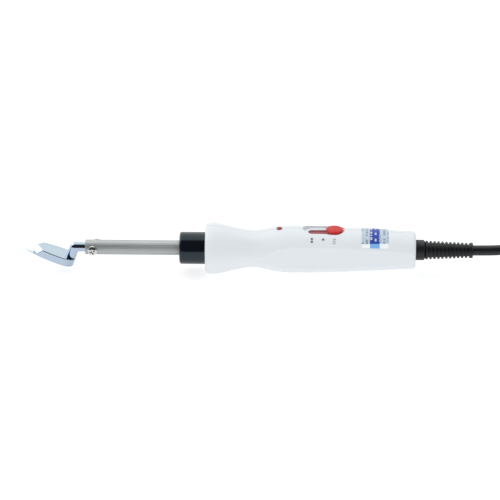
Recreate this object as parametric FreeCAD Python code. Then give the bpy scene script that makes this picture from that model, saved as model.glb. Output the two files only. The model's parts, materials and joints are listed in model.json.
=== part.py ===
import FreeCAD, Part
import math
import os

# Mains-powered hand tool with a heated shoe. Millimetres, +Z up, tool axis along X.
# The shoe points to -X, the cord leaves to +X, and the tool stands on z = 0.
# Heights named "_up" are measured from the tool axis, all x values from the origin.

# ---- handle ----------------------------------------------------------------------------------
flange_radius = 13.87
waist_radius = 10.0
belly_radius = 12.6
rear_radius = 10.15
handle_front_x = -23.1
flange_x = -19.1
waist_x = 2.2
belly_x = 22.0
handle_rear_x = 88.9
rear_corner = 2.0
wall = 1.8
front_wall = 2.6
rear_wall = 2.6
side_flat_front = 10.85
side_flat_rear = 9.6
seam_width = 0.22
seam_depth = 0.25
axis_height = flange_radius

# ---- heater barrel and the piece that joins it to the handle -----------------------
barrel_radius = 4.0
barrel_wall = 0.5
barrel_front_x = -87.2
barrel_rear_x = -10.0
collar_radius = 8.65
collar_front_x = -36.9
collar_edge = 1.3
collar_neck_radius = 7.2
collar_flange_radius = 9.0
collar_flange_thickness = 2.8
slide_fit = 0.05
stop_ring_radius = 6.8
stop_ring_width = 2.0
rib_width = 2.0
rib_clearance = 0.1

# ---- bit: shoe, neck and shank ------------------------------------------------------
shank_radius = 2.6
shank_end_x = -77.6
core_radius = 1.9
core_end_x = -46.0
shoe_pitch = 21.0
shoe_length = 27.6
shoe_height = 4.4
shoe_half_width = 5.75
heel_half_width = 3.1
heel_round = 0.9
toe_half_width = 1.5
toe_round = 0.7
shoe_heel_x = -93.7
shoe_heel_drop = 10.6
nose_point = 22.2
nose_shoulder = 18.9
nose_half_width = 4.4
nose_lean = 2.35
nose_reach = 4.0
toe_rise = 1.5
toe_thickness = 0.4
shoe_edge = 0.45
touch = 0.01
neck_foot_radius = 3.0
neck_offset = 3.0

# ---- clamp screws at the barrel's front --------------------------------------------
clamp_screw_radius = 1.5
clamp_head_radius = 2.65
clamp_head_height = 1.7
near_screw_x = -83.3
far_screw_x = -81.1
bush_length = 8.6
bush_set_back = 0.3

# ---- heating element -------------------------------------------------------------------------
former_wall = 0.45
former_clearance = 0.1
winding_wire = 0.32
winding_turns = 38
mica_thickness = 0.2
mica_gap = 0.15
bead_length = 6.4
lead_wire_radius = 0.4
lead_spread = 1.3
lead_end_x = 12.5
sleeve_radius = 0.85
sleeve_rear_x = 8.0

# ---- selector switch -------------------------------------------------------------------------
knob_off_x = 45.6
selector_travel = 12.0
knob_length = 8.9
knob_width = 8.0
knob_edge_up = 12.15
knob_crown = 0.4
knob_end_thickness = 0.5
knob_foot_half_length = 2.5
grip_rows = 4
grip_pitch = 0.8
grip_width = 0.35
pocket_end_play = 0.6
pocket_half_width = 4.7
pocket_point = 5.5
pocket_floor_up = 10.4
pocket_ramp = 2.8
pocket_skin = 1.4
pocket_rim = 1.6
slot_lip = 0.55
slot_half_width = 2.3
stem_half_length = 1.7
stem_half_width = 0.9
moving_gap = 0.3
shutter_half_width = 2.9
shutter_thickness = 0.7
shutter_gap = 0.1
shutter_play = 0.2
housing_wall = 1.0
housing_half_width = 4.5
housing_top_up = 7.2
slider_half_length = 3.0
slider_height = 2.4
wiper_thickness = 0.45
contact_thickness = 0.3
contact_gap = 0.2
contact_pin_radius = 0.5

# ---- circuit board and pilot light -------------------------------------------------------
board_start_x = 10.5
board_end_x = 62.0
board_half_width = 7.8
board_thickness = 1.0
board_bottom_up = 0.45
board_play = 0.1
rail_depth = 0.9
rail_reach = 1.5
rail_spans = ((13.0, 22.0), (52.0, 60.0))
lamp_x = 16.3
lens_radius = 1.45
lens_length = 3.1
lens_crown = 0.6
lens_crown_radius = 1.7
lens_flange_radius = 2.1
lens_flange_thickness = 0.6
lens_flange_drop = 0.9
neon_radius = 1.6

# ---- shell screws, cord clamp and strain relief ---------------------------------------------
shell_screw_places = ((3.5, -5.2), (26.0, -6.9), (66.0, -5.9))
boss_radius = 2.3
shell_screw_radius = 1.1
shell_head_radius = 2.1
shell_head_height = 1.3
shell_head_seat = 5.0
shell_screw_length = 9.5
screw_clearance = 0.15
clamp_bar_x = 77.5
clamp_bar_width = 5.0
clamp_bar_half_height = 6.3
clamp_bar_thickness = 1.6
clamp_bar_screw_up = 4.7
cord_diameter = 5.6
cord_start_x = 70.0
core_wire_radius = 1.0
relief_neck_radius = 4.9
relief_flange_radius = 6.6
relief_flange_width = 1.9
relief_collar_radius = 5.5
relief_collar_end_x = 93.5
relief_end_x = 119.4
relief_ring_width = 2.0
rib_count = 11
rib_pitch = 2.1
rib_top_front = 5.1
rib_top_rear = 4.15
groove_depth = 0.95
label_start_x = 60.0
label_end_x = 74.3
label_thickness = 0.1
label_half_angle = 58.0

# ---- cord, folded up for storage, and its plug --------------------------------------------------
hank_start_x = 142.0
hank_run = 90.0
inner_fold_radius = 3.0 * cord_diameter
tie_thickness = 0.5
tie_width = 8.0
tie_play = 0.1
hank_layers = 2
plug_to_tie = 2.2
plug_depth = 33.0
plug_width = 35.3
plug_thickness = 13.7
plug_grip_length = 8.0
plug_grip_radius = 4.6
pin_radius = 2.0
pin_length = 19.0
pin_spacing = 18.6

# The stretch from the strain relief up to the hank, laid on the hank's top.
cord_route = (
    (relief_end_x, 0.0, axis_height),
    (127.0, 0.0, 13.88),
    (135.0, 0.5, 14.0),
    (144.0, 2.4, 14.3),
    (153.5, 7.0, 14.5),
    (163.0, 13.4, 14.5),
    (172.5, 19.0, 14.5),
    (183.0, 22.0, 14.45),
    (194.0, 22.4, 14.3),
)
# The stretch that rises from the hank's inner turn to the plug, measured from the plug's rear.
plug_route = (
    (-47.0, 16.6, 9.6),
    (-39.5, 14.7, 11.6),
    (-32.0, 10.6, 14.2),
    (-24.0, 5.4, 16.6),
    (-16.0, 1.4, 18.1),
    (-8.0, 0.0, 18.55),
)

os.makedirs("parts", exist_ok=True)
V = FreeCAD.Vector
cord_radius = cord_diameter / 2
knob_on_x = knob_off_x - selector_travel
slot_start_x = knob_on_x - stem_half_length - moving_gap
slot_end_x = knob_off_x + stem_half_length + moving_gap
pocket_start_x = knob_on_x - knob_length / 2 - pocket_end_play
pocket_end_x = knob_off_x + knob_length / 2 + 2 * pocket_end_play
shutter_front_x = slot_start_x - moving_gap
shutter_rear_x = slot_end_x + moving_gap + selector_travel
board_top_up = board_bottom_up + board_thickness
shutter_top_up = pocket_floor_up - slot_lip - shutter_gap
shutter_bottom_up = shutter_top_up - shutter_thickness


# ---- small tools -----------------------------------------------------------------------------
def save(name, shape):
    solids = shape.Solids
    made = solids[0] if len(solids) == 1 else Part.makeCompound(solids)
    print(f"{name}: {len(solids)} solid(s), {made.Volume:.1f} mm3, valid {made.isValid()}")
    made.exportStep(f"parts/{name}.step")
    return made


def point(x, y, up):
    return V(x, y, axis_height + up)


def rod(radius, x0, x1, y=0.0, up=0.0):
    return Part.makeCylinder(radius, x1 - x0, point(x0, y, up), V(1, 0, 0))


def pipe(outer, inner, x0, x1, y=0.0, up=0.0):
    return rod(outer, x0, x1, y, up).cut(rod(inner, x0 - 1, x1 + 1, y, up))


def rod_y(radius, y0, y1, x, up):
    return Part.makeCylinder(radius, y1 - y0, point(x, y0, up), V(0, 1, 0))


def rod_z(radius, up0, up1, x, y=0.0):
    return Part.makeCylinder(radius, up1 - up0, point(x, y, up0), V(0, 0, 1))


def block(x0, x1, y0, y1, up0, up1):
    return Part.makeBox(x1 - x0, y1 - y0, up1 - up0, point(x0, y0, up0))


def fused(shapes):
    return shapes[0].multiFuse(shapes[1:]) if len(shapes) > 1 else shapes[0]


def prism(outline, direction):
    """A solid from a closed list of edges or of points, pushed along a direction."""
    edges = outline
    if not isinstance(outline[0], Part.Edge):
        edges = Part.makePolygon(list(outline) + [outline[0]]).Edges
    return Part.Face(Part.Wire(Part.__sortEdges__(edges))).extrude(direction)


def turned(edges):
    """A solid of revolution about the tool axis from a closed outline in the X-Z plane."""
    face = Part.Face(Part.Wire(edges))
    return face.revolve(point(0, 0, 0), V(1, 0, 0), 360)


def profile(steps):
    """Edges through (x, radius) corners; a step of four numbers is an arc by its middle and end."""
    corners = [point(steps[0][0], 0, steps[0][1])]
    edges = []
    for step in steps[1:]:
        end = point(step[-2], 0, step[-1])
        if len(step) == 4:
            middle = point(step[0], 0, step[1])
            edges.append(Part.Arc(corners[-1], middle, end).toShape())
        else:
            edges.append(Part.LineSegment(corners[-1], end).toShape())
        corners.append(end)
    edges.append(Part.LineSegment(corners[-1], corners[0]).toShape())
    return edges


def bezier(places):
    curve = Part.BezierCurve()
    curve.setPoles([point(x, 0, radius) for x, radius in places])
    return curve.toShape()


# ---- handle ----------------------------------------------------------------------------------
def handle_solid(inset):
    """The handle's outside, or the same shape drawn in by an inset."""
    corner_x = handle_rear_x - rear_corner
    span = waist_x - flange_x
    rise = belly_x - waist_x
    taper = corner_x - belly_x
    rim = flange_x - handle_front_x
    flange = flange_radius - inset
    waist = waist_radius - inset
    belly = belly_radius - inset
    rear = rear_radius - inset
    face = flange_radius - 2.0 - inset
    arc_x = corner_x + rear_corner * math.sin(math.radians(45))
    arc_radius = rear - rear_corner * (1 - math.cos(math.radians(45)))
    front_axis = point(handle_front_x, 0, 0)
    rear_axis = point(handle_rear_x, 0, 0)
    front_edge = point(handle_front_x, 0, face)
    rear_edge = point(handle_rear_x, 0, rear - rear_corner)
    edges = [
        Part.LineSegment(front_axis, front_edge).toShape(),
        bezier([
            (handle_front_x, face),
            (handle_front_x, flange - 0.6),
            (handle_front_x + 0.4 * rim, flange),
            (flange_x, flange),
        ]),
        bezier([
            (flange_x, flange),
            (flange_x + 0.2 * span, flange),
            (waist_x - 0.33 * span, waist),
            (waist_x, waist),
        ]),
        bezier([
            (waist_x, waist),
            (waist_x + 0.27 * rise, waist),
            (belly_x - 0.45 * rise, belly),
            (belly_x, belly),
        ]),
        bezier([
            (belly_x, belly),
            (belly_x + 0.3 * taper, belly),
            (corner_x - 0.34 * taper, rear + 0.46 * (belly - rear)),
            (corner_x, rear),
        ]),
        Part.Arc(point(corner_x, 0, rear), point(arc_x, 0, arc_radius), rear_edge).toShape(),
        Part.LineSegment(rear_edge, rear_axis).toShape(),
        Part.LineSegment(rear_axis, front_axis).toShape(),
    ]
    solid = turned(edges)
    beyond = 3 * flange_radius
    for side in (-1, 1):
        near = side * (flat_at(waist_x) - inset)
        far = side * (flat_at(handle_rear_x + 1) - inset)
        cutter = prism(
            [
                point(waist_x, near, -beyond),
                point(handle_rear_x + 1, far, -beyond),
                point(handle_rear_x + 1, side * beyond, -beyond),
                point(waist_x, side * beyond, -beyond),
            ],
            V(0, 0, 2 * beyond),
        )
        solid = solid.cut(cutter)
    return solid


def flat_at(x):
    """Distance of a side flat from the middle plane at a place along the handle."""
    share = (x - belly_x) / (handle_rear_x - belly_x)
    return side_flat_front + share * (side_flat_rear - side_flat_front)


def pocket_outline(inset, up):
    """Closed outline of the switch pocket: straight sides and pointed ends."""
    half = pocket_half_width - inset
    start = pocket_start_x + inset
    end = pocket_end_x - inset
    radius = (pocket_point**2 + half**2) / (2 * half)
    middle = pocket_point / 2
    middle_y = math.sqrt(radius**2 - middle**2) - (radius - half)
    edges = []
    for side in (-1, 1):
        front = point(start + pocket_point, side * half, up)
        rear = point(end - pocket_point, side * half, up)
        front_middle = point(start + middle, side * middle_y, up)
        rear_middle = point(end - middle, side * middle_y, up)
        edges += [
            Part.Arc(point(start, 0, up), front_middle, front).toShape(),
            Part.LineSegment(front, rear).toShape(),
            Part.Arc(rear, rear_middle, point(end, 0, up)).toShape(),
        ]
    return edges


def pocket_cut():
    """The pocket with a hollow ramp at each end and the slot through its floor."""
    top = belly_radius + 1
    rise = belly_radius - pocket_floor_up
    across = 2 * flange_radius
    ramp_radius = (pocket_ramp**2 + rise**2) / (2 * rise)
    half_drop = ramp_radius - math.sqrt(ramp_radius**2 - (pocket_ramp / 2) ** 2)
    bowl = prism(pocket_outline(0, pocket_floor_up), V(0, 0, top - pocket_floor_up))
    edges = []
    corners = []
    for x, way in ((pocket_start_x, 1), (pocket_end_x, -1)):
        rim = point(x, -across, belly_radius)
        foot = point(x + way * pocket_ramp, -across, pocket_floor_up)
        middle = point(x + way * pocket_ramp / 2, -across, pocket_floor_up + half_drop)
        high = point(x, -across, top)
        edges += [Part.LineSegment(high, rim).toShape(), Part.Arc(rim, middle, foot).toShape()]
        corners.append((high, foot))
    edges.append(Part.LineSegment(corners[0][1], corners[1][1]).toShape())
    edges.append(Part.LineSegment(corners[0][0], corners[1][0]).toShape())
    ramp = prism(edges, V(0, 2 * across, 0))
    radius = slot_half_width
    under = pocket_floor_up - pocket_skin - 1
    slot = fused([
        block(slot_start_x + radius, slot_end_x - radius, -radius, radius, under, top),
        rod_z(radius, under, top, slot_start_x + radius),
        rod_z(radius, under, top, slot_end_x - radius),
    ])
    return bowl.common(ramp).fuse(slot)


def lens_outline(grow, up):
    """Closed drop shape: a round front and a point towards the cord."""
    radius = lens_radius + grow
    tip = lens_length - lens_radius + 1.4 * grow
    angle = math.acos(radius / tip)
    touch_x = lamp_x + radius * math.cos(angle)
    touch_y = radius * math.sin(angle)
    round_part = Part.Arc(
        point(touch_x, touch_y, up), point(lamp_x - radius, 0, up), point(touch_x, -touch_y, up)
    )
    point_place = point(lamp_x + tip, 0, up)
    return [
        round_part.toShape(),
        Part.LineSegment(point(touch_x, -touch_y, up), point_place).toShape(),
        Part.LineSegment(point_place, point(touch_x, touch_y, up)).toShape(),
    ]


def shell_boss(x, up):
    return rod_y(boss_radius, -2 * flange_radius, 2 * flange_radius, x, up)


def handle_shells():
    beyond = 2 * flange_radius
    outside = handle_solid(0)
    inner_front = handle_front_x + front_wall
    inner_rear = handle_rear_x - rear_wall
    cavity = handle_solid(wall).common(
        block(inner_front, inner_rear, -beyond, beyond, -beyond, beyond)
    )
    fill = [
        block(
            pocket_start_x - pocket_rim,
            pocket_end_x + pocket_rim,
            -pocket_half_width - pocket_rim,
            pocket_half_width + pocket_rim,
            pocket_floor_up - pocket_skin,
            beyond,
        ),
        pipe(
            beyond,
            barrel_radius + moving_gap,
            stop_ring_x0 + stop_ring_width + rib_clearance,
            stop_ring_x0 + stop_ring_width + rib_clearance + rib_width,
        ),
    ]
    fill += [shell_boss(x, up) for x, up in shell_screw_places]
    for x0, x1 in rail_spans:
        for side in (-1, 1):
            y0, y1 = sorted((side * (board_half_width - rail_depth), side * beyond))
            low = board_bottom_up - rail_reach
            high = board_top_up + rail_reach
            fill.append(block(x0, x1, y0, y1, low, high))
    bar0 = clamp_bar_x - clamp_bar_width / 2
    bar1 = clamp_bar_x + clamp_bar_width / 2
    fill.append(block(bar0, bar1, cord_radius - 1, beyond, -2.2, 2.2))
    for side in (-1, 1):
        up = side * clamp_bar_screw_up
        fill.append(rod_y(boss_radius - 0.3, moving_gap, beyond, clamp_bar_x, up))
    cavity = cavity.cut(fused(fill))

    board_slot = block(
        board_start_x - board_play,
        board_end_x + board_play,
        -board_half_width - board_play,
        board_half_width + board_play,
        board_bottom_up - board_play / 2,
        board_top_up + board_play / 2,
    )
    holes = [
        cavity,
        board_slot,
        pocket_cut(),
        prism(lens_outline(slide_fit, belly_radius / 2), V(0, 0, belly_radius)),
        rod_z(
            lens_flange_radius + slide_fit,
            belly_radius / 2,
            belly_radius - wall - lens_flange_drop + slide_fit,
            lamp_x,
        ),
        rod(collar_neck_radius + slide_fit, handle_front_x - 1, inner_front + 1),
        rod(relief_neck_radius + slide_fit, inner_rear - 1, handle_rear_x + 1),
        rod(cord_radius + slide_fit, cord_start_x, inner_rear),
        block(
            shutter_front_x - selector_travel - moving_gap,
            shutter_rear_x + moving_gap,
            -shutter_half_width - shutter_play,
            shutter_half_width + shutter_play,
            shutter_bottom_up - 1,
            shutter_top_up + shutter_gap,
        ),
    ]
    for x, up in shell_screw_places:
        seat = shell_head_seat
        tip = seat - shell_screw_length - 0.5
        holes.append(rod_y(shell_screw_radius, tip, 0, x, up))
        holes.append(rod_y(shell_screw_radius + screw_clearance, 0, seat, x, up))
        holes.append(rod_y(shell_head_radius + screw_clearance, seat, beyond, x, up))
    for side in (-1, 1):
        up = side * clamp_bar_screw_up
        holes.append(rod_y(0.9, 0, 6.0, clamp_bar_x, up))
    groove = block(-100, 200, -seam_width / 2, seam_width / 2, -beyond, beyond)
    groove = groove.common(outside).cut(handle_solid(seam_depth))
    body = outside.cut(fused(holes)).cut(groove)
    near_half = body.common(block(-100, 200, -beyond, 0, -beyond, beyond))
    far_half = body.common(block(-100, 200, 0, beyond, -beyond, beyond))
    return near_half, far_half


def rating_label():
    """A thin printed strip over the handle's top."""
    outside = handle_solid(-label_thickness).cut(handle_solid(0))
    reach = 2 * flange_radius
    half = reach * math.tan(math.radians(label_half_angle))
    wedge = prism(
        [
            point(label_start_x, 0, 0),
            point(label_start_x, half, reach),
            point(label_start_x, -half, reach),
        ],
        V(label_end_x - label_start_x, 0, 0),
    )
    return outside.common(wedge)


# ---- collar, barrel and heating element ------------------------------------------------------
collar_flange_x = handle_front_x + front_wall + slide_fit
stop_ring_x0 = collar_flange_x + collar_flange_thickness + slide_fit


def front_collar():
    corner = collar_edge * (1 - math.cos(math.radians(45)))
    flange_end = collar_flange_x + collar_flange_thickness
    bore = barrel_radius + slide_fit
    return turned(profile([
        (collar_front_x, bore),
        (collar_front_x, collar_radius - collar_edge),
        (
            collar_front_x + corner,
            collar_radius - corner,
            collar_front_x + collar_edge,
            collar_radius,
        ),
        (handle_front_x - slide_fit, collar_radius),
        (handle_front_x - slide_fit, collar_neck_radius),
        (collar_flange_x, collar_neck_radius),
        (collar_flange_x, collar_flange_radius),
        (flange_end, collar_flange_radius),
        (flange_end, bore),
    ]))


def screw(radius, length, head_radius, head_height, recess):
    """A cross-head screw standing on its own origin, its shank pointing down."""
    crown = head_height * 0.55
    side = head_height - crown
    steps = [
        V(0, 0, -length),
        V(radius, 0, -length),
        V(radius, 0, 0),
        V(head_radius, 0, 0),
        V(head_radius, 0, side),
    ]
    edges = [Part.LineSegment(a, b).toShape() for a, b in zip(steps, steps[1:])]
    shoulder = V(0.72 * head_radius, 0, side + 0.78 * crown)
    edges.append(Part.Arc(steps[-1], shoulder, V(0, 0, head_height)).toShape())
    edges.append(Part.LineSegment(V(0, 0, head_height), steps[0]).toShape())
    made = Part.Face(Part.Wire(edges)).revolve(V(0, 0, 0), V(0, 0, 1), 360)
    arm = 0.58 * head_radius
    blade = 0.13 * head_radius
    for turn in (0, 90):
        bar = Part.makeBox(2 * arm, 2 * blade, 3, V(-arm, -blade, head_height - recess))
        bar.rotate(V(0, 0, 0), V(0, 0, 1), turn + 20)
        made = made.cut(bar)
    return made


def placed(shape, place, toward):
    """The shape moved to a place with its own Z turned toward a direction."""
    moved = shape.copy()
    moved.Placement = FreeCAD.Placement(place, FreeCAD.Rotation(V(0, 0, 1), toward))
    return moved


def clamp_screw():
    length = barrel_radius - shank_radius - slide_fit
    return screw(clamp_screw_radius, length, clamp_head_radius, clamp_head_height, 0.9)


def screw_cuts(radius):
    reach = barrel_radius + 1
    return fused([rod_y(radius, -reach, 0, near_screw_x, 0), rod_y(radius, 0, reach, far_screw_x, 0)])


def barrel_tube():
    bore = barrel_radius - barrel_wall
    tube = pipe(barrel_radius, bore, barrel_front_x, barrel_rear_x)
    return tube.cut(screw_cuts(clamp_screw_radius + screw_clearance))


def tip_holder_bush():
    start = barrel_front_x + bush_set_back
    bush = pipe(barrel_radius - barrel_wall, shank_radius + slide_fit, start, start + bush_length)
    return bush.cut(screw_cuts(clamp_screw_radius))


former_start_x = shank_end_x + 0.4
former_end_x = core_end_x + 3.0
former_bore = core_radius + former_clearance
former_radius = former_bore + former_wall


def heater_former():
    return pipe(former_radius, former_bore, former_start_x, former_end_x)


def heater_winding():
    start = former_start_x + 1.5
    pitch = (former_end_x - 1.5 - start) / winding_turns
    low = former_radius + 0.08
    high = former_radius + winding_wire
    steps = [(start, former_radius), (start, low)]
    for turn in range(winding_turns):
        x = start + turn * pitch
        steps.append((x + 0.5 * pitch, high, x + pitch, low))
    steps.append((start + winding_turns * pitch, former_radius))
    return turned(profile(steps))


def mica_sleeve():
    inner = former_radius + winding_wire + mica_gap
    start = former_start_x + 0.8
    return pipe(inner + mica_thickness, inner, start, former_end_x - 0.8)


bead_start_x = former_end_x + 0.4


def rear_insulator():
    bead = rod(barrel_radius - barrel_wall - slide_fit, bead_start_x, bead_start_x + bead_length)
    for side in (-1, 1):
        y = side * lead_spread
        bead = bead.cut(rod(lead_wire_radius, bead_start_x - 1, bead_start_x + 10, y))
    return bead


def heater_leads():
    wires = [rod(lead_wire_radius, bead_start_x, lead_end_x, s * lead_spread) for s in (-1, 1)]
    return Part.makeCompound(wires)


def lead_sleeves():
    start = bead_start_x + bead_length + 0.3
    sleeves = []
    for side in (-1, 1):
        y = side * lead_spread
        sleeves.append(pipe(sleeve_radius, lead_wire_radius, start, sleeve_rear_x, y))
    return Part.makeCompound(sleeves)


# ---- bit -------------------------------------------------------------------------------------
def shoe_place(along, up=0.0):
    """A place on the shoe's middle plane, from its heel along the sole and up from the sole."""
    pitch = math.radians(shoe_pitch)
    x = shoe_heel_x - along * math.cos(pitch) + up * math.sin(pitch)
    z = -shoe_heel_drop + along * math.sin(pitch) + up * math.cos(pitch)
    return point(x, 0, z)


def shoe_block():
    """The leaf-shaped shoe, lying with its heel at the origin and its toe to -X."""
    outline = []
    for side in (-1, 1):
        w = side * shoe_half_width
        places = [
            V(-heel_round, side * heel_half_width, 0),
            V(-0.16 * shoe_length, 0.93 * w, 0),
            V(-0.27 * shoe_length, w, 0),
            V(-0.50 * shoe_length, 0.945 * w, 0),
            V(-0.72 * shoe_length, 0.775 * w, 0),
            V(-0.89 * shoe_length, 0.49 * w, 0),
            V(toe_round - shoe_length, side * toe_half_width, 0),
        ]
        curve = Part.BSplineCurve()
        curve.interpolate(Points=places)
        outline.append(curve.toShape())
    for x, inset, half in ((0, -heel_round, heel_half_width), (-shoe_length, toe_round, toe_half_width)):
        ends = [V(x + inset, side * half, 0) for side in (-1, 1)]
        outline.append(Part.Arc(ends[0], V(x, 0, 0), ends[1]).toShape())
    shoe = prism(outline, V(0, 0, shoe_height))
    return ease_rim(shoe.cut(nose_clearance()))


def nose_section(lean, up):
    """The plan of the shoe's tall body at one height: a wide block brought to a point in front."""
    point_x = -nose_point - lean
    back_x = point_x + nose_reach * (nose_point - nose_shoulder)
    half = nose_reach * nose_half_width
    corners = [
        V(point_x, 0, up),
        V(back_x, -half, up),
        V(shoe_length, -half, up),
        V(shoe_length, half, up),
        V(back_x, half, up),
    ]
    return Part.makePolygon(corners + corners[:1])


def nose_clearance():
    """What is taken off the front of the shoe: all but the tall body and the thin sloping toe."""
    slope = nose_lean / shoe_height
    over = 1.0
    body = Part.makeLoft(
        [
            nose_section(slope * (shoe_height + over), -over),
            nose_section(-slope * over, shoe_height + over),
        ],
        True,
        True,
    )
    toe = prism(
        [
            V(0, -shoe_length, -2 * over),
            V(-2 * shoe_length, -shoe_length, -2 * over),
            V(-2 * shoe_length, -shoe_length, toe_thickness),
            V(-shoe_length, -shoe_length, toe_thickness),
            V(-nose_shoulder, -shoe_length, toe_rise),
            V(0, -shoe_length, toe_rise),
        ],
        V(0, 2 * shoe_length, 0),
    )
    front = Part.makeBox(
        shoe_length,
        2 * shoe_length,
        shoe_height + over / 2,
        V(-1.5 * shoe_length, -shoe_length, 0),
    )
    return front.cut(body).cut(toe)


def ease_rim(shoe):
    """Rounds the edge round the top face and the three edges of the nose."""
    rim = []
    for edge in shoe.Edges:
        heights = [vertex.Point.z for vertex in edge.Vertexes]
        if max(heights) < shoe_height - touch:
            continue
        run = abs(edge.valueAt(edge.FirstParameter).x - edge.valueAt(edge.LastParameter).x)
        if min(heights) > shoe_height - touch or run > nose_lean / 3:
            rim.append(edge)
    return shoe.makeFillet(shoe_edge, rim)


def shoe_bit():
    shoe = shoe_block()
    shoe.rotate(V(0, 0, 0), V(0, 1, 0), shoe_pitch)
    shoe.translate(shoe_place(0))
    pitch = math.radians(shoe_pitch)
    neck_length = (shoe_heel_drop - neck_offset * math.sin(pitch)) / math.cos(pitch)
    elbow = shoe_place(neck_offset, neck_length)
    foot = shoe_height * 0.5
    neck = Part.makeCone(
        neck_foot_radius,
        shank_radius,
        neck_length - foot,
        shoe_place(neck_offset, foot),
        V(math.sin(pitch), 0, math.cos(pitch)),
    )
    return fused([
        shoe,
        neck,
        Part.makeSphere(shank_radius, elbow),
        rod(shank_radius, elbow.x, shank_end_x),
        rod(core_radius, shank_end_x, core_end_x),
    ])


# ---- selector switch and board ---------------------------------------------------------------
housing_start_x = knob_on_x - slider_half_length - moving_gap - housing_wall
housing_end_x = knob_off_x + slider_half_length + moving_gap + housing_wall
housing_floor_up = board_top_up + housing_wall
contact_top_up = housing_floor_up + contact_thickness
wiper_bottom_up = contact_top_up + contact_gap
slider_bottom_up = wiper_bottom_up + wiper_thickness
contact_places = [knob_off_x - share * selector_travel for share in (0, 0.5, 1)]


def switch_housing():
    half = housing_half_width
    ceiling = housing_top_up - housing_wall
    inner = half - housing_wall
    hollow = block(
        housing_start_x + housing_wall,
        housing_end_x - housing_wall,
        -inner,
        inner,
        housing_floor_up,
        ceiling,
    )
    post_way = block(
        knob_on_x - stem_half_length - moving_gap,
        knob_off_x + stem_half_length + moving_gap,
        -stem_half_width - moving_gap,
        stem_half_width + moving_gap,
        ceiling - 1,
        housing_top_up + 1,
    )
    case = block(housing_start_x, housing_end_x, -half, half, board_top_up, housing_top_up)
    pins = [rod_z(contact_pin_radius, 0, housing_floor_up, x) for x in contact_places]
    return case.cut(fused([hollow, post_way] + pins))


def switch_contacts():
    made = []
    for x in contact_places:
        pad = block(x - 1.3, x + 1.3, -2.4, 2.4, housing_floor_up, contact_top_up)
        pin = rod_z(contact_pin_radius, board_bottom_up - 1.2, housing_floor_up, x)
        made.append(pad.fuse(pin))
    return Part.makeCompound(made)


def switch_slider():
    half = housing_half_width - housing_wall - moving_gap
    x = knob_off_x
    top = slider_bottom_up + slider_height
    body = block(
        x - slider_half_length, x + slider_half_length, -half, half, slider_bottom_up, top
    )
    post = block(
        x - stem_half_length,
        x + stem_half_length,
        -stem_half_width,
        stem_half_width,
        top,
        shutter_bottom_up,
    )
    return body.fuse(post)


def switch_wiper():
    """A springy bridge under the slider, bowed down at its middle."""
    half = slider_half_length - 0.4
    x = knob_off_x
    high = slider_bottom_up
    low = wiper_bottom_up
    thin = 0.2
    outline = [
        Part.Arc(point(x - half, -2, high), point(x, -2, low + 0.05), point(x + half, -2, high)),
        Part.LineSegment(point(x + half, -2, high), point(x - half, -2, high)),
    ]
    bow = prism([curve.toShape() for curve in outline], V(0, 4, 0))
    pad = block(x - half / 2, x + half / 2, -2, 2, high - thin, high)
    return bow.fuse(pad)


def slot_shutter():
    """The strip under the slot; it is long enough to close the slot at every setting."""
    x = knob_off_x
    strip = block(
        shutter_front_x,
        shutter_rear_x,
        -shutter_half_width,
        shutter_half_width,
        shutter_bottom_up,
        shutter_top_up,
    )
    hole = block(
        x - stem_half_length,
        x + stem_half_length,
        -stem_half_width,
        stem_half_width,
        shutter_bottom_up - 1,
        shutter_top_up + 1,
    )
    return strip.cut(hole)


def knob_outline(inset, up):
    """The knob's oval outline, drawn in by an inset."""
    half_length = knob_length / 2 - inset
    half_width = knob_width / 2 - inset
    return Part.Wire([Part.Ellipse(point(knob_off_x, 0, up), half_length, half_width).toShape()])


def switch_knob():
    """An oval pad with raised grip bars on its crown and a stem through the slot."""
    base = pocket_floor_up + moving_gap / 2
    top = knob_edge_up + knob_crown
    half_length = knob_length / 2
    half_width = knob_width / 2
    crown_rim = 1.0
    pad = Part.makeLoft(
        [
            knob_outline(0, base),
            knob_outline(0, knob_edge_up),
            knob_outline(0.25 * crown_rim, knob_edge_up + 0.5 * knob_crown),
            knob_outline(crown_rim, knob_edge_up + 0.8 * knob_crown),
        ],
        True,
        True,
    )
    side = [
        point(knob_off_x - half_length - 1, -half_width, top + 1),
        point(knob_off_x - half_length - 1, -half_width, knob_edge_up - knob_end_thickness),
        point(knob_off_x - half_length, -half_width, knob_edge_up - knob_end_thickness),
        point(knob_off_x - knob_foot_half_length, -half_width, base),
        point(knob_off_x + knob_foot_half_length, -half_width, base),
        point(knob_off_x + half_length, -half_width, knob_edge_up - knob_end_thickness),
        point(knob_off_x + half_length + 1, -half_width, knob_edge_up - knob_end_thickness),
        point(knob_off_x + half_length + 1, -half_width, top + 1),
    ]
    pad = pad.common(prism(side, V(0, knob_width, 0)))
    grips = []
    for row in range(-grip_rows, grip_rows + 1):
        middle = row * grip_pitch
        share = 1 - (middle / (half_length - crown_rim)) ** 2
        half = (half_width - crown_rim) * math.sqrt(max(share, 0.05))
        x0 = knob_off_x + middle - grip_width / 2
        grips.append(block(x0, x0 + grip_width, -half, half, knob_edge_up, top))
    stem = block(
        knob_off_x - stem_half_length,
        knob_off_x + stem_half_length,
        -stem_half_width,
        stem_half_width,
        shutter_bottom_up,
        base + 0.2,
    )
    return fused([pad, stem] + grips)


def circuit_board():
    board = block(
        board_start_x,
        board_end_x,
        -board_half_width,
        board_half_width,
        board_bottom_up,
        board_top_up,
    )
    holes = [rod_z(contact_pin_radius, board_bottom_up - 1, board_top_up + 1, x) for x in contact_places]
    return board.cut(fused(holes))


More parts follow.
